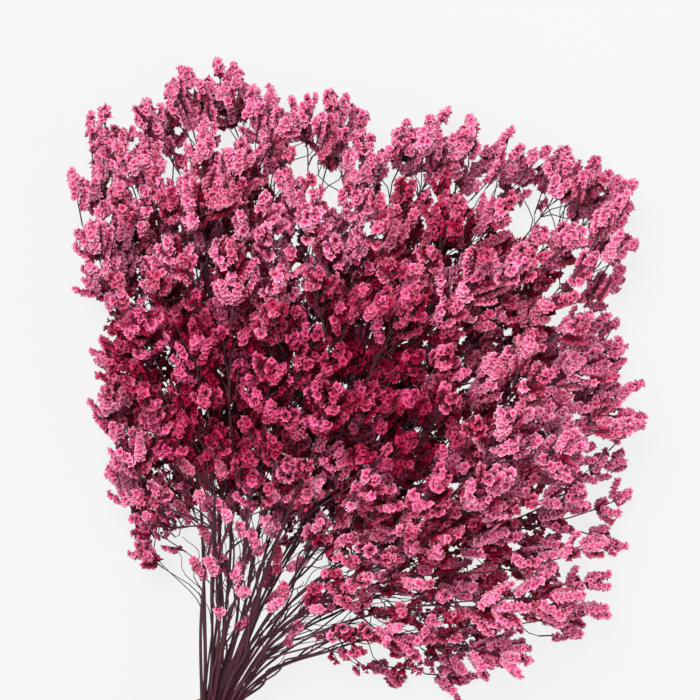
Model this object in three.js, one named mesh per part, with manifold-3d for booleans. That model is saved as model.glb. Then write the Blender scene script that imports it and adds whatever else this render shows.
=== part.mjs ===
// A bunch of dried crystal grass, a dyed sea lavender, bound with one elastic band and lying on a table.
// Millimetres. +Z is up from the table, +Y runs from the cut ends to the flowers and +X to the right.
// Each stem fans out of the band, then branches into flower heads covered with small cup-shaped florets.
import * as THREE from "three";
import { mergeVertices } from "three/addons/utils/BufferGeometryUtils.js";
import Module from "manifold-3d";

const wasm = await Module();
wasm.setup();

const DEG = Math.PI / 180;
const SPRAYS = 28;
const LAYOUT_SEED = 20;
const FLORET_SEED = 1000; // and one more for each spray

// The fan opens at the pivot, which lies over the origin of the layout. The bound stems pass by it.
const PIVOT_HEIGHT = 44;
const GRIP_LEAN = 17; // degrees to the right of +Y
const GRIP_SLOPE = 11.5; // degrees up towards the flowers, so that the cut ends lie on the table
const BAND_BELOW_PIVOT = 45;
const CUT_BELOW_PIVOT = 138;
const CUT_JITTER = 14;
const CUT_SPLAY = 1.16; // how far the bundle opens again at the cut ends
const FLARE = 0.3; // how steeply the outermost stems leave the band
const STEM_PITCH = 4.05; // between stems that lie side by side in the band
const BUNDLE_SHIFT = [0.21, 0.13]; // of the middle of the bundle from a stem, in pitches

// The reach of the flowers round the pivot: degrees clockwise from +Y, then millimetres.
const OUTLINE = [
  [-56, 58], [-44, 92], [-31, 150], [-23, 205], [-20, 290], [-15, 318], [-5, 336], [6, 330],
  [16, 312], [21, 334], [28, 338], [40, 352], [46, 320], [51, 282], [57, 276], [67, 256],
  [75, 242], [85, 214], [95, 168], [108, 90], [116, 62],
];
const LEFTMOST = OUTLINE[0][0];
const RIGHTMOST = OUTLINE[OUTLINE.length - 1][0];
const FURTHEST = Math.max(...OUTLINE.map(([, reach]) => reach));

// The flowers fill a dome over the table inside that outline.
const DOME_HEIGHT = 190;
const NECK_SHARE = 0.2; // of that height, at the pivot
const DOME_RISE = 165; // where the full height is reached
const EDGE_FROM = 0.45; // share of the reach from which the dome comes down
const EDGE_SPAN = 0.6;
const SIDE_POWER = 0.45; // how square the dome is from side to side
const FLOOR_FROM = 105; // where the lowest flowers reach the table
const FLOWERS_FROM = 66;

// Where the stems go: degrees clockwise from +Y for the leftmost, the middle and the rightmost.
const FAN_LEFT = -17;
const FAN_MIDDLE = 24;
const FAN_RIGHT = 96;
const LOOSE_LEAN = 22; // degrees over which a stem may stray from its place in the fan
const LOOSE_LEVEL = 0.3;
const DROOP = 16; // degrees that the rightmost stems bend further down
const DROOP_FROM = 20;
const DROOP_SPAN = 60;
const FACE_UP = 52; // degrees that the topmost heads turn up
const FACE_DOWN = 8;
const STEM_REACH = [0.62, 0.93]; // share of the reach at the end of a stem
const HIGH_STEM_LOSS = 0.22; // of that share, for the topmost stem
const BARE_STEM = 58; // at least, from the pivot to the first twig
const SHORTEST = 95; // from the pivot to the head on top of a stem
const STEM_TRIES = 400;

const STEM_RADIUS = 1.9;
const TWIG_RADIUS = 1.3; // at its head
const ROOT_RADIUS = 0.75; // where it leaves the stem
const STEM_SIDES = 5; // below the first twig
const TWIG_SIDES = 3; // above it
const STEM_STEPS = 7; // from the band to the top head
const PLACES_A_STEP = 6; // where a twig may start
const START_PULL = 0.36; // of a stem's length, along the way it leaves the band
const END_PULL = 0.3; // and along the way it ends
const BELOW_TWIG = 5; // from the dark part of a stem to its first twig
const JOINT_GAP = 0.3;

// Heads: how many, their length and their radius, the large ones first. A spread of 0.5 strews them
// evenly over the fan and a larger one brings them closer to the pivot.
const TOP_SIZE = { length: [40, 50], radius: [10.5, 12.5] };
const EDGE_SIZE = { length: [28, 42], radius: [9, 12] };
const HEAD_SIZES = [
  { upTo: 87, length: [38, 50], radius: [11, 13.5], spread: 0.5 },
  { upTo: 159, length: [26, 37], radius: [8.5, 10.5], spread: 0.85 },
];
const MOST_HEADS = HEAD_SIZES[HEAD_SIZES.length - 1].upTo;
const TRIES = 26000;
const EDGE_STEP = 23; // between the heads along the outline
const EDGE_TRIES = 120; // for each of them
const EDGE_STRAY = 6; // degrees that the last try may stray along the outline
const EDGE_LEVEL = 0.75; // of the dome, for the highest of them
const WOBBLE = 0.8; // how far a head turns from the way the fan grows
const TABLE_SINK = 1.6; // how far a resting head is pressed flat
const TABLE_MARGIN = 0.01;

// Shares of a head's radius: at the throats of its florets, at the tips of their lobes and between those.
const THROAT_REACH = 0.42;
const LOBE_REACH = [1.04, 1.24];
const NOTCH_REACH = [0.62, 0.78];
const HEAD_BEND = 0.16; // share of a head's length that its tip bends aside
const THICK_HEAD = 9.5; // five florets round it instead of four
const LONG_HEAD = 39; // three rings of them instead of two
const ROUGHNESS = 0.05; // share of a head's length over which its lobes stray along it

const STRAIGHT_TWIG = 40; // longer twigs bend once
const TWIG_BACK = [1.2, 0.7, 1.8]; // how far down the stem a twig starts, for each millimetre off it
const TWIG_BEND = 0.4;
const SHORT_TWIG = 9;
const LONG_TWIG = 125;
const MOST_TWIGS = 9; // on one stem
const CROWDING = 5; // millimetres of twig that one twig fewer on a stem is worth
const STEMS_TRIED = 6;

// What keeps the pieces apart: a chain of balls along each stem and twig and in each head.
const CLEARANCE = 0.7;
const STEM_CLEARANCE = 0.1; // between stems
const BEAD_STEP = 3;
const ROOT_BALLS = 4; // of a twig that may touch its own stem
const BALL_SIZE = 1.04; // share of a head's radius that other pieces keep clear of
const HEAD_BALLS = [[0.2, 0.72], [0.42, 1.0], [0.64, 1.0], [0.86, 0.78]]; // shares of length and radius

const BAND_WALL = 1.6;
const BAND_WIDTH = 9;
const BAND_ROOM = 0.35; // between the outermost stems and the band
const BAND_BULGE = 0.35; // share of the wall by which its middle is thicker
const BAND_SIDES = 20;
const PAST_BAND = 7.2; // from the middle of the band to where the stems begin to spread

const COLOURS = { stem: 0x4a2433, floret: 0xc8508a, band: 0xb98d5e };

function randomSource(seed) {
  let state = seed >>> 0;
  return () => {
    state = (state + 0x6d2b79f5) >>> 0;
    let t = state;
    t = Math.imul(t ^ (t >>> 15), t | 1);
    t ^= t + Math.imul(t ^ (t >>> 7), t | 61);
    return ((t ^ (t >>> 14)) >>> 0) / 4294967296;
  };
}

const clamp = (x, low, high) => Math.min(high, Math.max(low, x));
const mix = (a, b, t) => a + (b - a) * t;
const vec = (x, y, z) => new THREE.Vector3(x, y, z);

function smooth(x) {
  const t = clamp(x, 0, 1);
  return t * t * (3 - 2 * t);
}

// The reach of the flowers in one direction round the pivot.
function reachAt(theta) {
  if (theta <= LEFTMOST) return OUTLINE[0][1];
  if (theta >= RIGHTMOST) return OUTLINE[OUTLINE.length - 1][1];
  const i = OUTLINE.findIndex(([angle]) => angle > theta) - 1;
  const [from, reachFrom] = OUTLINE[i];
  const [to, reachTo] = OUTLINE[i + 1];
  return mix(reachFrom, reachTo, smooth((theta - from) / (to - from)));
}

// Lowest and highest flowers at a distance rho from the pivot.
function domeAt(theta, rho) {
  const across = clamp((theta - LEFTMOST) / (RIGHTMOST - LEFTMOST), 0, 1);
  const side = Math.pow(Math.sin(Math.PI * across), SIDE_POWER);
  const out = Math.max(0, rho / reachAt(theta) - EDGE_FROM) / EDGE_SPAN;
  const edge = Math.sqrt(Math.max(0, 1 - out * out));
  const rise = mix(NECK_SHARE, 1, smooth(rho / DOME_RISE));
  const low = (PIVOT_HEIGHT - 0.5 * NECK_SHARE * DOME_HEIGHT) * (1 - smooth(rho / FLOOR_FROM));
  return [low, low + DOME_HEIGHT * rise * edge * side];
}

function polar(point) {
  return [Math.atan2(point.x, point.y) / DEG, Math.hypot(point.x, point.y)];
}

function heading(theta, tilt) {
  return vec(
    Math.cos(tilt * DEG) * Math.sin(theta * DEG),
    Math.cos(tilt * DEG) * Math.cos(theta * DEG),
    Math.sin(tilt * DEG),
  );
}

// The way that a stem or a head grows at a point of the fan.
function growthAt(point) {
  const [theta, rho] = polar(point);
  const [low, high] = domeAt(theta, rho);
  const level = clamp((2 * (point.z - low)) / Math.max(1, high - low) - 1, -1, 1);
  const tilt = level > 0 ? FACE_UP * level : FACE_DOWN * level;
  return heading(theta + DROOP * smooth((theta - DROOP_FROM) / DROOP_SPAN), tilt);
}

const grip = heading(GRIP_LEAN, GRIP_SLOPE);
const acrossGrip = heading(GRIP_LEAN + 90, 0);
const aboveGrip = vec(0, 0, 0).crossVectors(acrossGrip, grip);
const bandCentre = vec(0, 0, PIVOT_HEIGHT).addScaledVector(grip, -BAND_BELOW_PIVOT);

// Where the stems lie in the band, packed side by side from the middle outwards.
function packedRound(count) {
  const places = [];
  for (let row = -4; row <= 4; row++) {
    for (let k = -5; k <= 5; k++) {
      const across = STEM_PITCH * (k + row / 2 - BUNDLE_SHIFT[0]);
      const above = STEM_PITCH * (Math.sqrt(0.75) * row - BUNDLE_SHIFT[1]);
      places.push(new THREE.Vector2(across, above));
    }
  }
  return places.sort((a, b) => a.length() - b.length()).slice(0, count);
}

const bundle = packedRound(SPRAYS);
const BUNDLE_RADIUS = bundle[SPRAYS - 1].length();

// Everything placed so far, as small balls that later pieces keep clear of.
const beads = [];

function addBeads(balls, spray) {
  balls.forEach((ball) => beads.push({ ...ball, spray }));
}

// Whether balls are clear of everything, apart from the first few, which may touch their own spray.
function isClear(balls, spray, ownUpTo, clearance) {
  return balls.every((ball, i) =>
    beads.every((other) => {
      if (other.spray === spray && i < ownUpTo) return true;
      const apart = ball.radius + other.radius + clearance;
      return ball.at.distanceToSquared(other.at) > apart * apart;
    }),
  );
}

// Balls along a line of points whose radius runs from one value to another.
function ballsAlong(points, radiusFrom, radiusTo) {
  const balls = [];
  const steps = points.length - 1;
  for (let i = 0; i < steps; i++) {
    const count = Math.max(1, Math.ceil(points[i].distanceTo(points[i + 1]) / BEAD_STEP));
    for (let k = 0; k < count; k++) {
      const at = points[i].clone().lerp(points[i + 1], k / count);
      balls.push({ at, radius: mix(radiusFrom, radiusTo, (i + k / count) / steps) });
    }
  }
  return balls;
}

function ballsOfHead(head) {
  return HEAD_BALLS.map(([along, wide]) => ({
    at: head.base.clone().addScaledVector(head.axis, along * head.length),
    radius: wide * head.radius * BALL_SIZE,
  }));
}

// Whether a head lies inside the outline and the dome and no deeper in the table than it may.
function headFits(head) {
  return ballsOfHead(head).every(({ at, radius }) => {
    const [theta, rho] = polar(at);
    const [low, high] = domeAt(theta, rho);
    return (
      rho + 0.4 * radius < reachAt(theta) &&
      rho > FLOWERS_FROM &&
      at.z - radius > Math.max(low - 4, -TABLE_SINK - TABLE_MARGIN) &&
      at.z + 0.8 * radius < high
    );
  });
}

// One stem from its cut end to its top head, or null where it would cross an earlier one.
function tryStem(index, draw) {
  const across = bundle[index].x / BUNDLE_RADIUS;
  const above = bundle[index].y / BUNDLE_RADIUS;
  const offset = acrossGrip.clone().multiplyScalar(bundle[index].x);
  offset.addScaledVector(aboveGrip, bundle[index].y);
  const aboveBand = bandCentre.clone().add(offset).addScaledVector(grip, PAST_BAND);
  const below = CUT_BELOW_PIVOT - BAND_BELOW_PIVOT + CUT_JITTER * (draw() - 0.5);
  const cut = bandCentre.clone().addScaledVector(grip, -below).addScaledVector(offset, CUT_SPLAY);
  const loose = draw();
  const lean = across < 0 ? mix(FAN_MIDDLE, FAN_LEFT, -across) : mix(FAN_MIDDLE, FAN_RIGHT, across);
  const theta = lean + LOOSE_LEAN * (draw() - 0.5);
  const share = mix(...STEM_REACH, draw()) * (above > 0 ? 1 - HIGH_STEM_LOSS * above : 1);
  const length = mix(...TOP_SIZE.length, draw());
  const radius = mix(...TOP_SIZE.radius, draw());
  const rho = reachAt(theta) * share - 0.8 * length;
  if (rho < SHORTEST) return null;
  const [low, high] = domeAt(theta, rho);
  const level = 0.5 + 0.5 * clamp(above + LOOSE_LEVEL * loose * (draw() - 0.5), -1, 1);
  const end = heading(theta, 0).multiplyScalar(rho).setZ(mix(low + radius, high - 1.3 * radius, level));
  const startWay = grip.clone().addScaledVector(offset, FLARE / BUNDLE_RADIUS).normalize();
  const span = aboveBand.distanceTo(end);
  const points = new THREE.CubicBezierCurve3(
    aboveBand,
    aboveBand.clone().addScaledVector(startWay, START_PULL * span),
    end.clone().addScaledVector(growthAt(end), -END_PULL * span),
    end,
  ).getPoints(STEM_STEPS);
  const axis = points[STEM_STEPS].clone().sub(points[STEM_STEPS - 1]).normalize();
  const head = { base: end, axis, length, radius };
  if (!headFits(head)) return null;
  const balls = [
    ...ballsAlong([cut, aboveBand], STEM_RADIUS, STEM_RADIUS),
    ...ballsAlong(points, STEM_RADIUS, TWIG_RADIUS),
    ...ballsOfHead(head),
  ];
  if (!isClear(balls, index, 0, STEM_CLEARANCE)) return null;
  addBeads(balls, index);
  const line = branchingPart(points);
  return { index, cut, points, head, line, bare: line[line.length - 1].along, twigs: [] };
}

// Places every few millimetres along the branching part of a stem, with their distance along it.
function branchingPart(points) {
  const line = [];
  let start = 0;
  for (let i = 0; i < points.length - 1; i++) {
    const step = points[i].distanceTo(points[i + 1]);
    for (let k = 0; k < PLACES_A_STEP; k++) {
      const at = points[i].clone().lerp(points[i + 1], k / PLACES_A_STEP);
      const along = start + (k / PLACES_A_STEP) * step;
      if (along > BAND_BELOW_PIVOT + BARE_STEM) line.push({ at, along });
    }
    start += step;
  }
  return line;
}

// The twig that carries a head from the nearest stem with room for it, or null.
function twigFor(head, sprays) {
  const centre = head.base.clone().addScaledVector(head.axis, 0.2 * head.length);
  const near = sprays
    .filter((spray) => spray.twigs.length < MOST_TWIGS)
    .map((spray) => {
      const away = spray.line.map((place) => place.at.distanceTo(centre));
      const least = Math.min(...away);
      return { spray, least, at: away.indexOf(least) };
    })
    .sort((a, b) => a.least - b.least + CROWDING * (a.spray.twigs.length - b.spray.twigs.length))
    .slice(0, STEMS_TRIED);
  for (const { spray, least, at } of near) {
    const pace = spray.line[1].along - spray.line[0].along;
    for (const back of TWIG_BACK) {
      const root = spray.line[Math.max(0, Math.round(at - (back * least) / pace))];
      const length = root.at.distanceTo(head.base);
      if (length < SHORT_TWIG || length > LONG_TWIG) continue;
      const bend = head.base.clone().addScaledVector(head.axis, -TWIG_BEND * length);
      const steps = length > STRAIGHT_TWIG ? 2 : 1;
      const points = new THREE.QuadraticBezierCurve3(root.at, bend, head.base).getPoints(steps);
      const balls = ballsAlong(points, TWIG_RADIUS, TWIG_RADIUS);
      if (isClear(balls, spray.index, ROOT_BALLS, CLEARANCE)) return { spray, root, points, balls };
    }
  }
  return null;
}

// Hangs a head on a stem where it is clear of everything else, and says whether it did.
function addHead(head, sprays) {
  if (!headFits(head)) return false;
  const balls = ballsOfHead(head);
  if (!isClear(balls, -1, 0, CLEARANCE)) return false;
  const found = twigFor(head, sprays);
  if (!found) return false;
  const { spray, root, points } = found;
  addBeads(found.balls, spray.index);
  addBeads(balls, spray.index);
  spray.twigs.push({ points, head });
  spray.bare = Math.min(spray.bare, root.along - BELOW_TWIG);
  return true;
}

// A head round a centre, which is laid down on the table where it is near it.
function headAround(centre, length, radius, draw) {
  const wobble = vec(draw() - 0.5, draw() - 0.5, 0.7 * (draw() - 0.5));
  const axis = growthAt(centre).addScaledVector(wobble, WOBBLE).normalize();
  if (centre.z < 2 * radius) {
    axis.setZ(0).normalize();
    centre.setZ(BALL_SIZE * radius - TABLE_SINK);
  }
  return { base: centre.clone().addScaledVector(axis, -0.5 * length), axis, length, radius };
}

// One head on the outline, near an angle.
function addEdgeHead(theta, sprays, draw) {
  for (let attempt = 0; attempt < EDGE_TRIES; attempt++) {
    const angle = theta + ((EDGE_STRAY * attempt) / EDGE_TRIES) * (draw() - 0.5);
    const length = mix(...EDGE_SIZE.length, draw());
    const radius = mix(...EDGE_SIZE.radius, draw());
    const rho = reachAt(angle) - 0.5 * length - 0.1 * radius * draw();
    const z = mix(0, EDGE_LEVEL, draw() * draw()) * domeAt(angle, rho)[1];
    const centre = heading(angle, 0).multiplyScalar(rho).setZ(z);
    if (addHead(headAround(centre, length, radius, draw), sprays)) return true;
  }
  return false;
}

// The stems, then the heads along the outline, then all the others.
function layOut() {
  const draw = randomSource(LAYOUT_SEED);
  const sprays = [];
  for (let index = 0; index < SPRAYS; index++) {
    let spray = null;
    for (let attempt = 0; attempt < STEM_TRIES && !spray; attempt++) spray = tryStem(index, draw);
    if (spray) sprays.push(spray);
  }
  let heads = sprays.length;
  for (let theta = LEFTMOST; theta < RIGHTMOST; theta += EDGE_STEP / reachAt(theta) / DEG) {
    if (addEdgeHead(theta, sprays, draw)) heads++;
  }
  for (let attempt = 0; attempt < TRIES && heads < MOST_HEADS; attempt++) {
    const size = HEAD_SIZES.find(({ upTo }, k) => heads < upTo && attempt < (TRIES * (k + 1)) / 2);
    if (!size) continue;
    const theta = mix(LEFTMOST, RIGHTMOST, draw());
    if (draw() > Math.pow(reachAt(theta) / FURTHEST, 2)) continue;
    const rho = reachAt(theta) * Math.pow(draw(), size.spread);
    const centre = heading(theta, 0).multiplyScalar(rho).setZ(domeAt(theta, rho)[1] * draw());
    const length = mix(...size.length, draw());
    const radius = mix(...size.radius, draw());
    if (addHead(headAround(centre, length, radius, draw), sprays)) heads++;
  }
  return sprays;
}

// A closed shell of triangles: a foot, rings of n corners turned by half a step, and a tip.
// Its faces are raised and sunk by turns, apart from those round the foot and the tip.
function ringShell(n, rings) {
  const corners = [{ share: 0, turn: 0, onAxis: true }];
  for (let j = 0; j < rings; j++) {
    for (let i = 0; i < n; i++) {
      corners.push({ share: (j + 0.72) / (rings + 0.34), turn: (i + 0.5 * (j % 2)) / n });
    }
  }
  corners.push({ share: 0.97, turn: 0, onAxis: true });
  const tip = corners.length - 1;
  const at = (j, i) => 1 + j * n + (((i % n) + n) % n);
  const faces = [];
  for (let i = 0; i < n; i++) {
    faces.push({ raised: false, of: [0, at(0, i + 1), at(0, i)] });
    for (let j = 0; j < rings - 1; j++) {
      const s = j % 2;
      faces.push({ raised: true, of: [at(j, i), at(j, i + 1), at(j + 1, i + s)] });
      faces.push({ raised: false, of: [at(j + 1, i + s), at(j, i + 1), at(j + 1, i + s + 1)] });
    }
    faces.push({ raised: true, of: [at(rings - 1, i), at(rings - 1, i + 1), tip] });
  }
  return { corners, faces };
}

// The outer shape of a head: its half width at a share of its length.
const headProfile = (share) => Math.pow(Math.sin(Math.PI * Math.pow(clamp(share, 0.02, 0.995), 0.86)), 0.6);

// The florets of a head. Each corner of the shell becomes the throat of a cup and each face the
// tip of a lobe or the notch beside it, so that neighbouring cups share their rims.
function floretMesh(head, frame, draw) {
  const n = head.radius > THICK_HEAD ? 5 : 4;
  const rings = head.length > LONG_HEAD ? 3 : 2;
  const { corners, faces } = ringShell(n, rings);
  const bend = HEAD_BEND * head.length * (2 * draw() - 1);
  const place = (turn, share, wide) => {
    const angle = 2 * Math.PI * turn;
    return head.base
      .clone()
      .addScaledVector(head.axis, share * head.length)
      .addScaledVector(frame[0], bend * (share * share - 0.3 * share))
      .addScaledVector(frame[0], Math.cos(angle) * wide)
      .addScaledVector(frame[1], Math.sin(angle) * wide);
  };
  const throats = corners.map(({ turn, share, onAxis }) =>
    onAxis
      ? place(turn, share * 0.88, 0)
      : place(turn, share, THROAT_REACH * head.radius * headProfile(share)),
  );
  const lobes = faces.map(({ raised, of }) => {
    const around = of.map((c) => corners[c]).filter((corner) => !corner.onAxis);
    const x = around.reduce((sum, { turn }) => sum + Math.cos(2 * Math.PI * turn), 0);
    const y = around.reduce((sum, { turn }) => sum + Math.sin(2 * Math.PI * turn), 0);
    const share = of.reduce((sum, c) => sum + corners[c].share, 0) / 3;
    const push = mix(...(raised ? LOBE_REACH : NOTCH_REACH), draw());
    const lift = share + ROUGHNESS * (draw() - 0.2);
    return place(Math.atan2(y, x) / (2 * Math.PI), lift, push * head.radius * headProfile(share));
  });
  const vertices = [...throats.slice(1), ...lobes];
  const lobe = (f) => throats.length - 1 + f;
  const faceOf = new Map();
  faces.forEach(({ of }, f) => of.forEach((a, k) => faceOf.set(a + "," + of[(k + 1) % 3], f)));
  const triangles = [];
  for (const [edge, left] of faceOf) {
    const [a, b] = edge.split(",").map(Number);
    const right = faceOf.get(b + "," + a);
    if (a > 0) triangles.push([a - 1, lobe(right), lobe(left)]);
  }
  // The faces round the foot, in order, leave a hole that the twig closes.
  const rim = [];
  for (let i = 0; i < n; i++) rim.push(lobe(faceOf.get(`0,${1 + ((i + 1) % n)}`)));
  return { vertices, triangles, rim };
}

// Two directions square to an axis, the first as near as can be to an earlier one.
function frameFor(axis, earlier) {
  const first = earlier.clone().addScaledVector(axis, -earlier.dot(axis)).normalize();
  return [first, vec(0, 0, 0).crossVectors(axis, first)];
}

// A stem or twig as rings of corners along its points, with a floret head on its end if it has one.
function tubeMesh(points, sides, radiusFrom, radiusTo, head, draw) {
  const vertices = [];
  const triangles = [];
  let earlier = vec(0.31, 0.17, 0.93);
  const steps = points.length - 1;
  points.forEach((point, i) => {
    const ahead = points[Math.min(i + 1, steps)].clone().sub(points[Math.max(i - 1, 0)]).normalize();
    const frame = frameFor(i === steps && head ? head.axis : ahead, earlier);
    earlier = frame[0];
    const radius = mix(radiusFrom, radiusTo, i / steps);
    for (let k = 0; k < sides; k++) {
      const angle = (2 * Math.PI * k) / sides;
      const corner = point.clone().addScaledVector(frame[0], Math.cos(angle) * radius);
      vertices.push(corner.addScaledVector(frame[1], Math.sin(angle) * radius));
    }
  });
  const ring = (i, k) => i * sides + (k % sides);
  for (let k = 1; k < sides - 1; k++) triangles.push([ring(0, 0), ring(0, k + 1), ring(0, k)]);
  for (let i = 0; i < steps; i++) {
    for (let k = 0; k < sides; k++) {
      triangles.push([ring(i, k), ring(i, k + 1), ring(i + 1, k)]);
      triangles.push([ring(i, k + 1), ring(i + 1, k + 1), ring(i + 1, k)]);
    }
  }
  if (!head) {
    for (let k = 1; k < sides - 1; k++) triangles.push([ring(steps, 0), ring(steps, k), ring(steps, k + 1)]);
    return solid(vertices, triangles);
  }
  const florets = floretMesh(head, frameFor(head.axis, earlier), draw);
  const offset = vertices.length;
  vertices.push(...florets.vertices);
  triangles.push(...florets.triangles.map((triangle) => triangle.map((v) => v + offset)));
  const rim = florets.rim.map((v) => v + offset);
  const n = rim.length;
  const facing = (i) => Math.round(((i + 0.5) * sides) / n);
  for (let i = 0; i < n; i++) {
    triangles.push([ring(steps, facing(i)), rim[(i + 1) % n], rim[i]]);
    for (let k = facing(i); k < (i + 1 < n ? facing(i + 1) : facing(0) + sides); k++) {
      triangles.push([ring(steps, k), ring(steps, k + 1), rim[(i + 1) % n]]);
    }
  }
  return solid(vertices, triangles);
}

function solid(vertices, triangles) {
  const vertProperties = new Float32Array(vertices.flatMap((v) => [v.x, v.y, v.z]));
  const triVerts = new Uint32Array(triangles.flat());
  return new wasm.Manifold(new wasm.Mesh({ numProp: 3, vertProperties, triVerts }));
}

function solidOfGeometry(source) {
  const bare = source.clone().deleteAttribute("normal").deleteAttribute("uv");
  const merged = mergeVertices(bare, 1e-4);
  const vertProperties = merged.getAttribute("position").array;
  const triVerts = new Uint32Array(merged.index.array);
  return new wasm.Manifold(new wasm.Mesh({ numProp: 3, vertProperties, triVerts }));
}

function meshOf(name, made, material) {
  const { vertProperties, triVerts, numProp } = made.getMesh();
  const positions = new Float32Array((vertProperties.length / numProp) * 3);
  for (let i = 0; i < positions.length / 3; i++) {
    positions.set(vertProperties.subarray(i * numProp, i * numProp + 3), i * 3);
  }
  const geometry = new THREE.BufferGeometry()
    .setAttribute("position", new THREE.BufferAttribute(positions, 3))
    .setIndex(new THREE.BufferAttribute(new Uint32Array(triVerts), 1));
  geometry.computeVertexNormals();
  const mesh = new THREE.Mesh(geometry, material);
  mesh.name = name;
  return mesh;
}

// The point at a distance along a line of points, and the index of the point after it.
function pointAlong(points, distance) {
  let after = 1;
  let left = distance;
  while (left > points[after - 1].distanceTo(points[after])) {
    left -= points[after - 1].distanceTo(points[after]);
    after++;
  }
  const step = points[after - 1].distanceTo(points[after]);
  return { at: points[after - 1].clone().lerp(points[after], left / step), after };
}

function finish(color, roughness) {
  return new THREE.MeshStandardMaterial({ color, roughness, metalness: 0 });
}

const stemFinish = finish(COLOURS.stem, 0.75);
const floretFinish = finish(COLOURS.floret, 0.85);
const bandFinish = finish(COLOURS.band, 0.6);

// Everything below the top of the table is cut off.
const tableSolid = solidOfGeometry(new THREE.BoxGeometry(900, 900, 100).translate(0, 100, -50));

// The dark part of a stem is one piece. The rest of it, its twigs and their heads are another.
function addSpray(bunch, spray) {
  const number = String(spray.index + 1).padStart(2, "0");
  const { at, after } = pointAlong(spray.points, spray.bare);
  const along = spray.points[after].clone().sub(at).normalize();
  const split = mix(STEM_RADIUS, TWIG_RADIUS, after / STEM_STEPS);
  const lower = [spray.cut, ...spray.points.slice(0, after), at];
  const upper = [at.clone().addScaledVector(along, JOINT_GAP), ...spray.points.slice(after)];
  const stem = tubeMesh(lower, STEM_SIDES, STEM_RADIUS, split, null, null);
  bunch.add(meshOf(`stem_${number}`, stem.subtract(tableSolid), stemFinish));
  const draw = randomSource(FLORET_SEED + spray.index);
  let panicle = tubeMesh(upper, TWIG_SIDES, split, TWIG_RADIUS, spray.head, draw);
  for (const { points, head } of spray.twigs) {
    panicle = panicle.add(tubeMesh(points, TWIG_SIDES, ROOT_RADIUS, TWIG_RADIUS, head, draw));
  }
  bunch.add(meshOf(`florets_${number}`, panicle.subtract(tableSolid), floretFinish));
}

// A ring with a slightly bulging outside, round the bundle.
function elasticBand() {
  const inner = BUNDLE_RADIUS + STEM_RADIUS + BAND_ROOM;
  const edge = inner + (1 - BAND_BULGE) * BAND_WALL;
  const half = BAND_WIDTH / 2;
  const profile = [
    [inner, -half], [edge, -half], [inner + BAND_WALL, 0], [edge, half], [inner, half], [inner, -half],
  ];
  const ring = new THREE.LatheGeometry(profile.map(([x, y]) => new THREE.Vector2(x, y)), BAND_SIDES);
  const turn = new THREE.Quaternion().setFromUnitVectors(vec(0, 1, 0), grip);
  return ring.applyQuaternion(turn).translate(bandCentre.x, bandCentre.y, bandCentre.z);
}

const bunch = new THREE.Group();
layOut().forEach((spray) => addSpray(bunch, spray));
bunch.add(meshOf("elastic_band", solidOfGeometry(elasticBand()), bandFinish));

// The origin is the middle of the bunch's footprint, on the table.
const box = new THREE.Box3().setFromObject(bunch);
bunch.position.set(-(box.min.x + box.max.x) / 2, -(box.min.y + box.max.y) / 2, -box.min.z);

export default bunch;
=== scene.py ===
import math

import bpy
import numpy as np
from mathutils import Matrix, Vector


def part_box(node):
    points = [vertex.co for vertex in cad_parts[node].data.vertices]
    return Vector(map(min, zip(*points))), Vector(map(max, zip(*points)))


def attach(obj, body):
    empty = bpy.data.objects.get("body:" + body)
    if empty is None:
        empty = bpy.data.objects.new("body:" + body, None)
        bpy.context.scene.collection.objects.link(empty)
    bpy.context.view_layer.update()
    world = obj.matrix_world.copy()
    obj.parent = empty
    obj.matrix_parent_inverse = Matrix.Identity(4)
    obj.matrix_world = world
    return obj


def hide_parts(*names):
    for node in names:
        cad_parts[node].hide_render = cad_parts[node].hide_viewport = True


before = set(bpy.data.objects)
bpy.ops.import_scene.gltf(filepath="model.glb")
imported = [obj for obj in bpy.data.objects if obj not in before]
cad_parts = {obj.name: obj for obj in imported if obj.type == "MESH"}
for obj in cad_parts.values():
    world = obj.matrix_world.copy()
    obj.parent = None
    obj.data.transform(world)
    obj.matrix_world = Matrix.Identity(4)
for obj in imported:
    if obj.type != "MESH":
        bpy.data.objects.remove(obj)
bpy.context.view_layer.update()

MM = 0.001
DEG = math.pi / 180
GOLDEN_ANGLE = math.pi * (3 - math.sqrt(5))

# The layout of the CAD model, in millimetres. The names and the order of the draws are the same there.
SPRAYS = 28
LAYOUT_SEED = 20
PIVOT_HEIGHT = 44
GRIP_LEAN = 17
GRIP_SLOPE = 11.5
BAND_BELOW_PIVOT = 45
CUT_BELOW_PIVOT = 138
CUT_JITTER = 14
CUT_SPLAY = 1.16
FLARE = 0.3
STEM_PITCH = 4.05
ROW_PITCH = math.sqrt(0.75)
BUNDLE_SHIFT = (0.21, 0.13)
MOST_ROWS = 4
MOST_IN_ROW = 5
OUTLINE = (  # angle from +Y in degrees and reach from the pivot
    (-56, 58), (-44, 92), (-31, 150), (-23, 205), (-20, 290), (-15, 318), (-5, 336), (6, 330),
    (16, 312), (21, 334), (28, 338), (40, 352), (46, 320), (51, 282), (57, 276), (67, 256),
    (75, 242), (85, 214), (95, 168), (108, 90), (116, 62),
)
LEFTMOST = OUTLINE[0][0]
RIGHTMOST = OUTLINE[-1][0]
FURTHEST = max(reach for _, reach in OUTLINE)
DOME_HEIGHT = 190
NECK_SHARE = 0.2
DOME_RISE = 165
EDGE_FROM = 0.45
EDGE_SPAN = 0.6
SIDE_POWER = 0.45
FLOOR_FROM = 105
FLOWERS_FROM = 66
FAN_LEFT = -17
FAN_MIDDLE = 24
FAN_RIGHT = 96
LOOSE_LEAN = 22
LOOSE_LEVEL = 0.3
DROOP = 16
DROOP_FROM = 20
DROOP_SPAN = 60
FACE_UP = 52
FACE_DOWN = 8
STEM_REACH = (0.62, 0.93)
HIGH_STEM_LOSS = 0.22
BARE_STEM = 58
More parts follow.
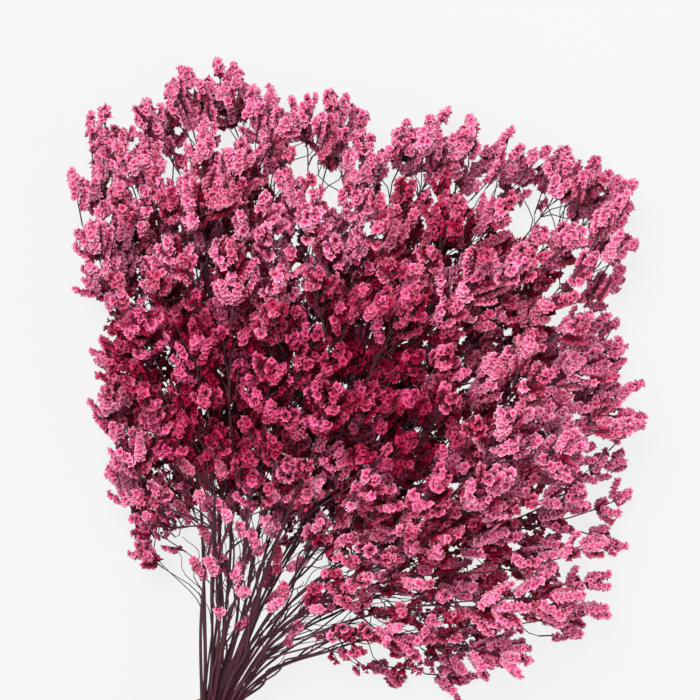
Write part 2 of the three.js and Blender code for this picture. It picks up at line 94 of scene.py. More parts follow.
SHORTEST = 95
STOP_SHORT = 0.8
UNDER_TOP = 1.3
STEM_TRIES = 400
STEM_RADIUS = 1.9
TWIG_RADIUS = 1.3
STEM_STEPS = 7
PLACES_A_STEP = 6
START_PULL = 0.36
END_PULL = 0.3
TOP_SIZE = ((40, 50), (10.5, 12.5))
EDGE_SIZE = ((28, 42), (9, 12))
HEAD_SIZES = (
    {"up_to": 87, "length": (38, 50), "radius": (11, 13.5), "spread": 0.5},
    {"up_to": 159, "length": (26, 37), "radius": (8.5, 10.5), "spread": 0.85},
)
TRIES = 26000
EDGE_STEP = 23
EDGE_TRIES = 120
EDGE_STRAY = 6
EDGE_INSET = 0.1
EDGE_LEVEL = 0.75
WOBBLE = 0.8
WOBBLE_UP = 0.7
INSIDE_EDGE = 0.4
INSIDE_TOP = 0.8
BELOW_FLOOR = 4
TABLE_SINK = 1.6
TABLE_MARGIN = 0.01
STRAIGHT_TWIG = 40
TWIG_BACK = (1.2, 0.7, 1.8)
TWIG_BEND = 0.4
TWIG_AIM = 0.2
SHORT_TWIG = 9
LONG_TWIG = 125
MOST_TWIGS = 9
CROWDING = 5
STEMS_TRIED = 6
CLEARANCE = 0.7
STEM_CLEARANCE = 0.1
BEAD_STEP = 3
ROOT_BALLS = 4
BALL_SIZE = 1.04
HEAD_BALLS = np.array([(0.2, 0.72), (0.42, 1.0), (0.64, 1.0), (0.86, 0.78)])
PAST_BAND = 7.2
FATTEST_HEAD = HEAD_SIZES[0]["radius"][1] * BALL_SIZE


def mix(a, b, t):
    return a + (b - a) * t


def clamp(x, low, high):
    return min(high, max(low, x))


def smooth(x):
    t = clamp(x, 0, 1)
    return t * t * (3 - 2 * t)


def length_of(v):
    return math.sqrt(v[0] * v[0] + v[1] * v[1] + v[2] * v[2])


def unit(v):
    return v / length_of(v)


def units(rows):
    return rows / np.linalg.norm(rows, axis=1)[:, None]


def joined(parts):
    """The arrays of several parts as one of each kind."""
    return [np.concatenate(kind) for kind in zip(*parts)]


def distance_along(points):
    return np.concatenate([[0], np.cumsum(np.linalg.norm(np.diff(points, axis=0), axis=1))])


def random_source(seed):
    """The numbers from 0 to 1 that the CAD model draws."""
    state = seed

    def draw():
        nonlocal state
        state = (state + 0x6D2B79F5) % 2**32
        t = state
        t = (t ^ (t >> 15)) * (t | 1) % 2**32
        t ^= (t + (t ^ (t >> 7)) * (t | 61)) % 2**32
        return (t ^ (t >> 14)) / 2**32

    return draw


def reach_at(theta):
    """The reach of the flowers in one direction round the pivot."""
    for (start, reach_from), (end, reach_to) in zip(OUTLINE, OUTLINE[1:]):
        if theta < end:
            return mix(reach_from, reach_to, smooth((theta - start) / (end - start)))
    return OUTLINE[-1][1]


def dome_at(theta, rho):
    """The lowest and the highest flowers at a distance from the pivot."""
    across = clamp((theta - LEFTMOST) / (RIGHTMOST - LEFTMOST), 0, 1)
    side = math.sin(math.pi * across) ** SIDE_POWER if 0 < across < 1 else 0
    out = max(0, rho / reach_at(theta) - EDGE_FROM) / EDGE_SPAN
    edge = math.sqrt(max(0, 1 - out * out))
    rise = mix(NECK_SHARE, 1, smooth(rho / DOME_RISE))
    low = (PIVOT_HEIGHT - 0.5 * NECK_SHARE * DOME_HEIGHT) * (1 - smooth(rho / FLOOR_FROM))
    return low, low + DOME_HEIGHT * rise * edge * side


def polar(point):
    return math.atan2(point[0], point[1]) / DEG, math.hypot(point[0], point[1])


def heading(theta, tilt):
    level = math.cos(tilt * DEG)
    return np.array([level * math.sin(theta * DEG), level * math.cos(theta * DEG), math.sin(tilt * DEG)])


def growth_at(point):
    """The way that a stem or a head grows at a point of the fan."""
    theta, rho = polar(point)
    low, high = dome_at(theta, rho)
    level = clamp((2 * (point[2] - low)) / max(1, high - low) - 1, -1, 1)
    tilt = FACE_UP * level if level > 0 else FACE_DOWN * level
    return heading(theta + DROOP * smooth((theta - DROOP_FROM) / DROOP_SPAN), tilt)


GRIP = heading(GRIP_LEAN, GRIP_SLOPE)
ACROSS_GRIP = heading(GRIP_LEAN + 90, 0)
ABOVE_GRIP = np.cross(ACROSS_GRIP, GRIP)
BAND_CENTRE = np.array([0, 0, PIVOT_HEIGHT]) - GRIP * BAND_BELOW_PIVOT


def packed_round(count):
    """Where the stems lie in the band, packed side by side from the middle outwards."""
    places = [
        (STEM_PITCH * (k + row / 2 - BUNDLE_SHIFT[0]), STEM_PITCH * (ROW_PITCH * row - BUNDLE_SHIFT[1]))
        for row in range(-MOST_ROWS, MOST_ROWS + 1) for k in range(-MOST_IN_ROW, MOST_IN_ROW + 1)
    ]
    return sorted(places, key=lambda place: math.hypot(*place))[:count]


BUNDLE = packed_round(SPRAYS)
BUNDLE_RADIUS = math.hypot(*BUNDLE[-1])


class Beads:
    """Small balls for all that is placed so far, which later pieces keep clear of."""

    def __init__(self):
        self.centres, self.radii, self.sprays = np.zeros((0, 3)), np.zeros(0), np.zeros(0, int)

    def add(self, centres, radii, spray):
        so_far = self.centres, self.radii, self.sprays
        self.centres, self.radii, self.sprays = joined([so_far, (centres, radii, np.full(len(radii), spray))])

    def clear_of(self, centres, radii, spray, own_up_to, clearance):
        """Whether balls touch nothing. The first few may touch their own spray."""
        middle = centres.mean(axis=0)
        reach = np.abs(centres - middle).max() + radii.max() + FATTEST_HEAD + clearance
        near = (np.abs(self.centres - middle) < reach).all(axis=1)
        away = ((centres[:, None] - self.centres[None, near]) ** 2).sum(axis=2)
        touching = away <= (radii[:, None] + self.radii[None, near] + clearance) ** 2
        touching[:own_up_to, self.sprays[near] == spray] = False
        return not touching.any()


def balls_along(points, radius_from, radius_to):
    centres, radii = [], []
    steps = np.diff(points, axis=0)
    for i, step in enumerate(steps):
        count = max(1, math.ceil(length_of(step) / BEAD_STEP))
        for k in range(count):
            centres.append(points[i] + step * (k / count))
            radii.append(mix(radius_from, radius_to, (i + k / count) / len(steps)))
    return np.array(centres), np.array(radii)


def balls_of_head(head):
    along = HEAD_BALLS[:, :1] * head["length"]
    return head["base"] + head["axis"] * along, HEAD_BALLS[:, 1] * head["radius"] * BALL_SIZE


def head_fits(head, flowers_from=FLOWERS_FROM, above=0, beyond=0):
    """Whether a head lies inside the outline and the dome, and not too deep in the table."""
    for at, radius in zip(*balls_of_head(head)):
        theta, rho = polar(at)
        low, high = dome_at(theta, rho)
        if not (
            rho + INSIDE_EDGE * radius < reach_at(theta) + beyond
            and rho > flowers_from
            and at[2] - radius > max(low - BELOW_FLOOR, -TABLE_SINK - TABLE_MARGIN)
            and at[2] + INSIDE_TOP * radius < high + above
        ):
            return False
    return True


def cubic(a, b, c, d, steps):
    t = np.arange(steps + 1)[:, None] / steps
    s = 1 - t
    return s**3 * a + 3 * s**2 * t * b + 3 * s * t**2 * c + t**3 * d


def quadratic(a, b, c, steps):
    t = np.arange(steps + 1)[:, None] / steps
    s = 1 - t
    return s**2 * a + 2 * s * t * b + t**2 * c


def try_stem(index, beads, draw):
    """One stem from its cut end to its top head, or None if it would cross another."""
    across, above = (x / BUNDLE_RADIUS for x in BUNDLE[index])
    offset = ACROSS_GRIP * BUNDLE[index][0] + ABOVE_GRIP * BUNDLE[index][1]
    above_band = BAND_CENTRE + offset + GRIP * PAST_BAND
    below = CUT_BELOW_PIVOT - BAND_BELOW_PIVOT + CUT_JITTER * (draw() - 0.5)
    cut = BAND_CENTRE - GRIP * below + offset * CUT_SPLAY
    loose = draw()
    lean = mix(FAN_MIDDLE, FAN_LEFT, -across) if across < 0 else mix(FAN_MIDDLE, FAN_RIGHT, across)
    theta = lean + LOOSE_LEAN * (draw() - 0.5)
    share = mix(*STEM_REACH, draw()) * (1 - HIGH_STEM_LOSS * above if above > 0 else 1)
    length = mix(*TOP_SIZE[0], draw())
    radius = mix(*TOP_SIZE[1], draw())
    rho = reach_at(theta) * share - STOP_SHORT * length
    if rho < SHORTEST:
        return None
    low, high = dome_at(theta, rho)
    level = 0.5 + 0.5 * clamp(above + LOOSE_LEVEL * loose * (draw() - 0.5), -1, 1)
    end = heading(theta, 0) * rho
    end[2] = mix(low + radius, high - UNDER_TOP * radius, level)
    start_way = unit(GRIP + offset * (FLARE / BUNDLE_RADIUS))
    span = length_of(end - above_band)
    leaving = above_band + start_way * START_PULL * span
    curve = (above_band, leaving, end - growth_at(end) * END_PULL * span, end)
    points = cubic(*curve, STEM_STEPS)
    head = {"base": end, "axis": unit(points[-1] - points[-2]), "length": length, "radius": radius}
    if not head_fits(head):
        return None
    centres, radii = joined([
        balls_along(np.array([cut, above_band]), STEM_RADIUS, STEM_RADIUS),
        balls_along(points, STEM_RADIUS, TWIG_RADIUS),
        balls_of_head(head),
    ])
    if not beads.clear_of(centres, radii, index, 0, STEM_CLEARANCE):
        return None
    beads.add(centres, radii, index)
    places, along = branching_part(points)
    return {
        "index": index, "cut": cut, "offset": offset, "curve": curve, "head": head,
        "places": places, "along": along, "twigs": [],
    }


def branching_part(points):
    """Places along the branching part of a stem, and their distance along it."""
    places, distances, start = [], [], 0
    for point, step in zip(points, np.diff(points, axis=0)):
        for share in (k / PLACES_A_STEP for k in range(PLACES_A_STEP)):
            along = start + share * length_of(step)
            if along > BAND_BELOW_PIVOT + BARE_STEM:
                places.append(point + step * share)
                distances.append(along)
        start += length_of(step)
    return np.array(places), distances


def twig_for(head, sprays, beads):
    """The twig that carries a head from the nearest stem with room for it, or None."""
    centre = head["base"] + head["axis"] * (TWIG_AIM * head["length"])
    near = []
    for spray in sprays:
        if len(spray["twigs"]) < MOST_TWIGS:
            away = np.sqrt(((spray["places"] - centre) ** 2).sum(axis=1))
            at = int(away.argmin())
            near.append((away[at] + CROWDING * len(spray["twigs"]), away[at], at, spray))
    near.sort(key=lambda found: found[0])
    for _, least, at, spray in near[:STEMS_TRIED]:
        pace = spray["along"][1] - spray["along"][0]
        for back in TWIG_BACK:
            place = max(0, math.floor(at - (back * least) / pace + 0.5))
            root = spray["places"][place]
            length = length_of(root - head["base"])
            if length < SHORT_TWIG or length > LONG_TWIG:
                continue
            bend = head["base"] - head["axis"] * (TWIG_BEND * length)
            steps = 2 if length > STRAIGHT_TWIG else 1
            centres, radii = balls_along(quadratic(root, bend, head["base"], steps), TWIG_RADIUS, TWIG_RADIUS)
            if beads.clear_of(centres, radii, spray["index"], ROOT_BALLS, CLEARANCE):
                beads.add(centres, radii, spray["index"])
                return {"spray": spray, "root": root, "bend": bend, "head": head}
    return None


def add_head(head, sprays, beads):
    """Hangs a head on a stem if it is clear of everything else, and says whether it did."""
    centres, radii = balls_of_head(head)
    if not head_fits(head) or not beads.clear_of(centres, radii, -1, 0, CLEARANCE):
        return False
    twig = twig_for(head, sprays, beads)
    if twig is None:
        return False
    beads.add(centres, radii, twig["spray"]["index"])
    twig["spray"]["twigs"].append(twig)
    return True


def head_around(centre, length, radius, draw):
    """A head round a centre, laid down on the table where it is near it."""
    wobble = np.array([draw() - 0.5, draw() - 0.5, WOBBLE_UP * (draw() - 0.5)])
    axis = unit(growth_at(centre) + wobble * WOBBLE)
    if centre[2] < 2 * radius:
        axis[2] = 0
        axis = unit(axis)
        centre[2] = BALL_SIZE * radius - TABLE_SINK
    return {"base": centre - axis * (0.5 * length), "axis": axis, "length": length, "radius": radius}


def add_edge_head(theta, sprays, beads, draw):
    """One head on the outline, near an angle."""
    for attempt in range(EDGE_TRIES):
        angle = theta + ((EDGE_STRAY * attempt) / EDGE_TRIES) * (draw() - 0.5)
        length = mix(*EDGE_SIZE[0], draw())
        radius = mix(*EDGE_SIZE[1], draw())
        rho = reach_at(angle) - 0.5 * length - EDGE_INSET * radius * draw()
        centre = heading(angle, 0) * rho
        centre[2] = mix(0, EDGE_LEVEL, draw() * draw()) * dome_at(angle, rho)[1]
        if add_head(head_around(centre, length, radius, draw), sprays, beads):
            return True
    return False


def size_for(heads, attempt):
    for k, size in enumerate(HEAD_SIZES):
        if heads < size["up_to"] and attempt < (TRIES * (k + 1)) / 2:
            return size


def lay_out():
    """The stems, then the heads along the outline, then all the others, as in the CAD model."""
    draw = random_source(LAYOUT_SEED)
    beads = Beads()
    sprays = []
    for index in range(SPRAYS):
        for _ in range(STEM_TRIES):
            spray = try_stem(index, beads, draw)
            if spray:
                sprays.append(spray)
                break
    heads = len(sprays)
    theta = LEFTMOST
    while theta < RIGHTMOST:
        heads += add_edge_head(theta, sprays, beads, draw)
        theta += EDGE_STEP / reach_at(theta) / DEG
    for attempt in range(TRIES):
        size = size_for(heads, attempt)
        if size is None:
            break
        theta = mix(LEFTMOST, RIGHTMOST, draw())
        if draw() > (reach_at(theta) / FURTHEST) ** 2:
            continue
        rho = reach_at(theta) * draw() ** size["spread"]
        centre = heading(theta, 0) * rho
        centre[2] = dome_at(theta, rho)[1] * draw()
        length = mix(*size["length"], draw())
        radius = mix(*size["radius"], draw())
        heads += add_head(head_around(centre, length, radius, draw), sprays, beads)
    return sprays, beads


# The lines that stems and twigs follow in the dressed model.
LINE_SEED = 500
CURVE_STEPS = 34
STEM_SWAY = 2.8
MOST_WAVES = 3
POINTS_A_WAVE = 8
TWIG_STEP = 8
TWIG_SWAY = 0.4
TWIG_LIFT = 0.3  # share of a twig's length over which it still runs along its stem
TWIG_PULL = 0.8
SHOOT_PULLS = (0.35, 0.4)  # at its root and at its head


def nearest_on(curve, point):
    return int(((curve - point) ** 2).sum(axis=1).argmin())


def sway(count, amount, rng):
    """A slow wander in three directions that starts and ends at nothing."""
    t = np.linspace(0, 1, count)[:, None]
    waves = sum(
        rng.normal(0, 1 / k, 3) * np.sin(math.tau * k * t + rng.uniform(0, math.tau, 3))
        for k in range(1, 1 + min(MOST_WAVES, count // POINTS_A_WAVE))
    )
    return amount * np.sin(math.pi * t) * waves


def grow_lines(spray, rng):
    """A stem that wanders about its curve, and twigs that leave along it."""
    curve = cubic(*spray["curve"], CURVE_STEPS)
    spray["line"] = curve + sway(len(curve), STEM_SWAY, rng)
    spray["small"] = []
    for twig in spray["twigs"]:
        at = nearest_on(spray["line"], twig["root"])
        root, base = spray["line"][at], twig["head"]["base"]
        after = spray["line"][min(at + 1, len(curve) - 1)]
        lifted = root + unit(after - spray["line"][at - 1]) * (TWIG_LIFT * length_of(base - root))
        steps = max(4, round(length_of(base - root) / TWIG_STEP))
        line = cubic(root, lifted, mix(lifted, twig["bend"], TWIG_PULL), base, steps)
        twig["line"] = line + sway(len(line), TWIG_SWAY, rng)


def side_shoot(root, along, head):
    """A thin twig that leaves a stem or a twig along it, up to a head."""
    base = head["base"]
    length = length_of(base - root)
    steps = max(3, round(length / TWIG_STEP))
    leave, arrive = (pull * length for pull in SHOOT_PULLS)
    return cubic(root, root + along * leave, base - head["axis"] * arrive, base, steps)


# Small heads that only the dressed model has. Near and far say where each sort may be, as a share of the
# outline's reach and millimetres added to it, and level as a share of the dome's height. Above and beyond
# are how far it may stand out of them. The sort without a level sits over stems, and one that closes gaps
# goes only where nothing else hides the table.
SMALL_SEED = 7
SMALL_FROM = 36
SHORT_SHOOT = 7
LONG_SHOOT = 62
SIDEWAYS_COST = 1.7
TOO_SHORT_COST = 1000
LOOSE_FROM = 62  # beyond this angle the fan is looser
LOOSE_SHARE = 0.12
NOTCH_UNTIL = -20  # up to this angle no head stands out of the outline
THINNING = 1.5
OUTWARDS = 0.65  # below 1, more of them lie far out
UPWARDS = 0.85  # and high up
OVER_STEM = 3
ASIDE_STEM = 18
STEM_SHOWS_FROM = 0.45  # share of the dome's height above which a stem shows from above
NECK_LEFT, NECK_RIGHT = 92, 56  # how near the pivot flowers come, on the left and on the right of the fan
NECK_TURN, NECK_SPAN = 10, 30  # the angle where that begins to change, and over how much
NECK_FADE, NECK_FADE_SPAN = 12, 30
SMALL_SORT = {"above": 0, "beyond": 0, "clearance": -3.2, "closes_gaps": False}
# A sort's paleness is partly painted shade: the gap closers, low between the other heads, get the deepest
# colour to stand for the shade there.
SMALL_SORTS = (
    {**SMALL_SORT, "heads": 100, "tries": 5000, "near": (1, -32), "far": (1, 4), "level": (0, 1),
     "length": (20, 36), "radius": (3.8, 6.2), "paleness": 0.56, "beyond": 10},
    {**SMALL_SORT, "heads": 120, "tries": 6000, "near": (0, 50), "far": (0, 190), "level": None,
     "length": (13, 27), "radius": (3.6, 6.2), "paleness": 0.32, "above": 16},
    {**SMALL_SORT, "heads": 220, "tries": 12000, "near": (0, 70), "far": (0.88, 0), "level": (0.2, 1),
     "length": (16, 30), "radius": (5.2, 8), "paleness": 0.34, "above": 3},
    {**SMALL_SORT, "heads": 300, "tries": 20000, "near": (0, 84), "far": (0.8, 0), "level": (0, 0.36),
     "length": (22, 34), "radius": (7, 10), "paleness": 0.08, "clearance": -6, "closes_gaps": True},
)
COVERED = 0.4  # share of a head's radius within which it hides what lies below


def roots_of(spray):
    """Points where side shoots may leave a spray, the way it grows at each, and its index."""
    lines = [spray["line"][5:]] + [twig["line"][1:] for twig in spray["twigs"]]
    points = np.vstack([line[:-1] for line in lines])
    ways = np.vstack([np.diff(line, axis=0) for line in lines])
    return points, units(ways), np.full(len(points), spray["index"])


def scattered_centre(sort, draw):
    """A place for a small head in its part of the fan, or None."""
    theta = mix(LEFTMOST, RIGHTMOST, draw())
    reach = reach_at(theta)
    keep = (reach / FURTHEST) ** THINNING * (LOOSE_SHARE if theta > LOOSE_FROM else 1)
    if draw() > keep or (sort["beyond"] and theta < NOTCH_UNTIL):
        return None
    near, far = (share * reach + more for share, more in (sort["near"], sort["far"]))
    rho = mix(near, far, draw() ** OUTWARDS)
    centre = heading(theta, 0) * rho
    centre[2] = dome_at(theta, rho)[1] * mix(*sort["level"], draw() ** UPWARDS)
    return centre


def centre_over_stem(sort, points, radius, draw):
    """A place for a small head just above a stem that shows, or None."""
    below = points[int(draw() * len(points))]
    theta, rho = polar(below)
    if not sort["near"][1] < rho < sort["far"][1] or below[2] < STEM_SHOWS_FROM * dome_at(theta, rho)[1]:
        return None
    nearest = mix(NECK_LEFT, NECK_RIGHT, smooth((theta - NECK_TURN) / NECK_SPAN))
    if draw() > smooth((rho - nearest + NECK_FADE) / NECK_FADE_SPAN):
        return None
    aside = heading(theta + 90, 0) * (ASIDE_STEM * (draw() - 0.5))
    return below + aside + np.array([0, 0, radius + OVER_STEM])


def root_for(head, points, ways):
    """The point that a side shoot to a head leaves best from, or None."""
    away = head["base"] - points
    distance = np.linalg.norm(away, axis=1)
    forward = ((away @ head["axis"]) + (away * ways).sum(axis=1)) / (2 * distance)
    cost = distance * (SIDEWAYS_COST - forward) + TOO_SHORT_COST * (distance < SHORT_SHOOT)
    at = int(cost.argmin())
    return at if distance[at] <= LONG_SHOOT else None


def add_small_heads(sprays, beads):
    draw = random_source(SMALL_SEED)
    over, hides = joined(balls_of_head(part["head"]) for spray in sprays for part in (spray, *spray["twigs"]))
    points, ways, owners = joined(roots_of(spray) for spray in sprays)
    for sort in SMALL_SORTS:
        heads = 0
        for _ in range(sort["tries"]):
            if heads >= sort["heads"]:
                break
            length, radius = mix(*sort["length"], draw()), mix(*sort["radius"], draw())
            if sort["level"]:
                centre = scattered_centre(sort, draw)
            else:
                centre = centre_over_stem(sort, points, radius, draw)
            if centre is None:
                continue
            head = head_around(centre, length, radius, draw)
            head["paleness"], head["one_sided"] = sort["paleness"], sort["beyond"] > 0
            centres, radii = balls_of_head(head)
            if not head_fits(head, SMALL_FROM, sort["above"], sort["beyond"]):
                continue
            if sort["closes_gaps"] and (np.hypot(*(over - centre)[:, :2].T) < COVERED * hides).any():
                continue
            if not beads.clear_of(centres, radii, -1, 0, sort["clearance"]):
                continue
            at = root_for(head, points, ways)
            if at is None:
                continue
            beads.add(centres, radii, owners[at])
            over, hides = joined([(over, hides), (centres, radii)])
            line = side_shoot(points[at], ways[at], head)
            sprays[owners[at]]["small"].append({"head": head, "line": line})
            heads += 1


ANY_WAY = np.array([0.31, 0.17, 0.93])  # directions that no line or head happens to follow
SIDEWAYS = np.array([0.31, 0.93, 0.17])


def transport_frames(points):
    """A line's direction at each point and two square to it, which turn as little as can be."""
    ahead = units(np.gradient(points, axis=0))
    first = np.zeros_like(points)
    earlier = ANY_WAY
    for i, way in enumerate(ahead):
        earlier = unit(earlier - way * (earlier @ way))
        first[i] = earlier
    return ahead, first, np.cross(ahead, first)


class Wood:
    """Collects the stems, twigs and stalks of one spray."""

    def __init__(self):
        self.parts, self.faces, self.count = [], [], 0

    def tube(self, points, radius_from, radius_to, sides, tint, ridge=0.0, cut=False):
        rings = len(points)
        _, first, second = transport_frames(points)
        angle = math.tau * np.arange(sides) / sides
        along = distance_along(points)
        radius = mix(radius_from, radius_to, along / along[-1])[:, None]
        radius = radius * (1 + ridge * np.where(np.arange(sides) % 2, -1, 1))[None]
        turn = np.stack([np.cos(angle), np.sin(angle)], axis=1)
        round_it = turn[:, :1] * first[:, None] + turn[:, 1:] * second[:, None]
        vertices = points[:, None] + round_it * radius[:, :, None]
        grain = np.zeros((rings, sides, 3))
        grain[:, :, :2] = turn
        grain[:, :, 2] = along[:, None]
        start = self.count
        for i in range(rings - 1):
            for k in range(sides):
                a, b = (start + i * sides + j for j in (k, (k + 1) % sides))
                self.faces.append((a, b, b + sides, a + sides))
        self.put(vertices.reshape(-1, 3), grain.reshape(-1, 3), tint, 0)
        # The ends have vertices of their own, so that a cut one can show its pale inside.
        for ring, order in ((0, -1), (rings - 1, 1)):
            cap = list(range(self.count, self.count + sides))
            self.faces.append(tuple(cap[::order]))
            self.put(vertices[ring], grain[ring], tint, 1 if cut and ring == 0 else 0)

    def put(self, vertices, grain, tint, pith):
        count = len(vertices)
        self.parts.append((vertices, grain, np.full(count, tint), np.full(count, pith)))
        self.count += count


# One floret: a narrow foot, a throat and five pointed lobes. Each ring has a radius, a height, a share of the
# way from the dark throat, partly its own colour and partly painted shade, to the light rim, and a turn in
# lobes.
LOBES = 5
THROAT = (0.4, 1.5, 0.16, 0)
NOTCH = (1.65, 2.35, 0.8, 0)
LOBE_TIP = (2.3, 2.6, 1.0, 0.5)
LOBE_STRAY = 0.32
FLORET_SCALE = (0.75, 1.2)
FLORET_WIDTH = (0.78, 1.15)
NEARLY_LEVEL = 0.9
FACES_UP = 0.3  # florets that look up more than this have a throat ring, unless they lie deep inside
DEEP = 56  # below this height, and within this share of the outline's reach, a head is hidden
DEEP_WITHIN = 0.78


class Floret:
    """One floret that opens towards +Z: vertices, triangles, rim values and how loose each vertex is."""

    def __init__(self, fine):
        rings = (THROAT, NOTCH, LOBE_TIP) if fine else (NOTCH, LOBE_TIP)
        vertices, rim, triangles = [(0, 0, 0)], [0.0], []
        for radius, height, share, turn in rings:
            rim += [share] * LOBES
            for k in range(LOBES):
                angle = math.tau * (k + turn) / LOBES
                vertices.append((radius * math.cos(angle), radius * math.sin(angle), height))
        outer = 1 + (len(rings) - 2) * LOBES
        for k in range(LOBES):
            after = (k + 1) % LOBES
            notch, tip, next_notch = outer + k, outer + LOBES + k, outer + after
            if fine:
                throat, next_throat = 1 + k, 1 + after
                triangles += [
                    (0, throat, next_throat), (throat, tip, next_throat), (throat, notch, tip),
                    (next_throat, tip, next_notch),
                ]
            else:
                triangles += [(0, notch, tip), (0, tip, next_notch)]
        self.vertices, self.triangles, self.rim = map(np.array, (vertices, triangles, rim))
        self.loose = np.where(self.rim >= NOTCH[2], 1.0, 0.0)

    def copies(self, bases, ways, tints, painted_shade_rims, sizes, rng):
        """This floret at each base, opening each way, no two alike."""
        count = len(bases)
        level = np.abs(ways[:, 2:]) < NEARLY_LEVEL
        first = units(np.cross(np.where(level, [0, 0, 1.0], [1.0, 0, 0]), ways))
        second = np.cross(ways, first)
        spin = rng.uniform(0, math.tau, count)[:, None]
        turned = first * np.cos(spin) + second * np.sin(spin)
        crossed = second * np.cos(spin) - first * np.sin(spin)
        shape = np.repeat(self.vertices[None], count, axis=0)
        shape[:, :, :2] *= rng.uniform(*FLORET_WIDTH, count)[:, None, None]
        shape += rng.normal(0, LOBE_STRAY, shape.shape) * self.loose[None, :, None]
        shape *= (sizes * rng.uniform(*FLORET_SCALE, count))[:, None, None]
        vertices = bases[:, None] + sum(
            shape[:, :, k:k + 1] * way[:, None] for k, way in enumerate((turned, crossed, ways))
        )
        triangles = self.triangles[None] + np.arange(count)[:, None, None] * len(self.vertices)
        return (
            vertices.reshape(-1, 3), triangles.reshape(-1, 3), (painted_shade_rims[:, None] * self.rim).ravel(),
            np.repeat(tints, len(self.vertices)),
        )


FINE_FLORET, PLAIN_FLORET = Floret(True), Floret(False)


# How much of the sky a floret sees through the crowd. Where little light comes, the florets get painted
# shade: deeper tints and darker rims.
CELL = 5
FLORET_AREA = 5
SKY_WAYS = np.array([
    (0, 0, 1), (0, 0, 1), (-0.35, 0.8, 1.4), (-0.35, 0.8, 1.4), (1, 0, 1), (-1, 0, 1), (0, 1, 1), (0, -1, 1),
])
SKY_START = 0.7
SKY_PACE = 6
SKY_STEPS = 9
SKY_GAIN = 2.0
SKY_LOSS = (0.35, -0.3)  # inside the bunch and at its open edge
TINT_SPAN = (0.04, 1.2)
RIM_GAIN = 2.0
RIM_LEAST = (0.12, 0.6)  # inside the bunch and at its open edge
# How far the rims are held down as painted shade where openness falls below zero.
RIM_PAINTED_SHADE = 0.45
FINE_FROM = 0.3
HIDDEN_SIZE = 1.6
SEEN_FROM = 0.35


class Crowd:
    """A grid of cells that holds how many florets lie in each."""

    def __init__(self, points):
        self.low = points.min(axis=0) - CELL
        cells = ((points - self.low) / CELL).astype(int)
        self.count = np.zeros(cells.max(axis=0) + 2)
        np.add.at(self.count, tuple(cells.T), 1)

    def near(self, points):
        cells = np.clip(((points - self.low) / CELL).astype(int), 0, np.array(self.count.shape) - 1)
        return self.count[tuple(cells.T)]

    def sky_at(self, points):
        seen = 0
        for way in units(SKY_WAYS):
            crowding = sum(self.near(points + way * (SKY_PACE * (k + SKY_START))) for k in range(SKY_STEPS))
            seen = seen + np.exp(-crowding * SKY_PACE * FLORET_AREA / CELL**3)
        return seen / len(SKY_WAYS)


class Blossom:
    """Collects the florets of one spray."""

    def __init__(self):
        self.parts = []

    def add(self, bases, ways, tints, openness):
        self.parts.append((bases, units(ways), tints, np.full(len(bases), openness)))

    def mesh(self, crowd, rng):
        """Vertices, triangles, rim values and tints of all florets, with painted shade on those that see
        little sky.
        """
        bases, ways, tints, openness = joined(self.parts)
        sky = crowd.sky_at(bases + FLORET_HEIGHT * ways)
        # Painted shade: florets that see little sky, or lie deep inside the bunch, get a deeper tint and a
        # darker rim.
        tints = tints * np.clip(SKY_GAIN * sky - mix(*SKY_LOSS, openness), *TINT_SPAN)
        palest = 1 + RIM_PAINTED_SHADE * np.minimum(openness, 0)
        painted_shade_rims = np.clip(RIM_GAIN * sky + mix(*RIM_LEAST, openness), 0, palest)
        up = (ways[:, 2] > FACES_UP) & (sky > FINE_FROM)
        sizes = mix(HIDDEN_SIZE, 1, np.clip(sky / SEEN_FROM, 0, 1))
        fine = FINE_FLORET.copies(bases[up], ways[up], tints[up], painted_shade_rims[up], sizes[up], rng)
        plain = PLAIN_FLORET.copies(bases[~up], ways[~up], tints[~up], painted_shade_rims[~up], sizes[~up], rng)
        plain[1][:] += len(fine[0])
        return joined([fine, plain])


PROFILE_ENDS = (0.02, 0.995)
PROFILE_SKEW = 0.86
PROFILE_FULLNESS = 0.6


def head_profile(share):
    """The half width of a head at a share of its length, as in the CAD model."""
    return math.sin(math.pi * clamp(share, *PROFILE_ENDS) ** PROFILE_SKEW) ** PROFILE_FULLNESS


# One spikelet. Wood is given as the radius at its root and at its end, and its number of sides.
SPIKELET_WOOD = (0.5, 0.24, 3)
SPIKELET_TINT = 0.35
SPIKELET_AREA = 44  # square millimetres of length times radius that one spikelet fills
LOOSE_AREA = 56  # the same where the fan is loose
BARE_SHARE = 0.17
FLOWERING_SHARE = 0.85
LEAST_FLORETS = 4
FLORET_STEP = 0.63  # between florets along a spikelet
HIDDEN_STEP = 1.5
FLORET_HEIGHT = 2.3  # from a spikelet's stalk to the rim of a floret
FLORET_FORWARD = 0.42
END_FORWARD = 0.5
LEAN_STRAY = 0.16
FORWARD_STRAY = 0.12
TINT_STRAY = 0.08
ONE_SIDE = np.array([-66, -22, 24, 68]) * DEG
ALL_ROUND = np.array([0, 137.5, 275, 52.5, 190, 327.5, 105, 242.5]) * DEG


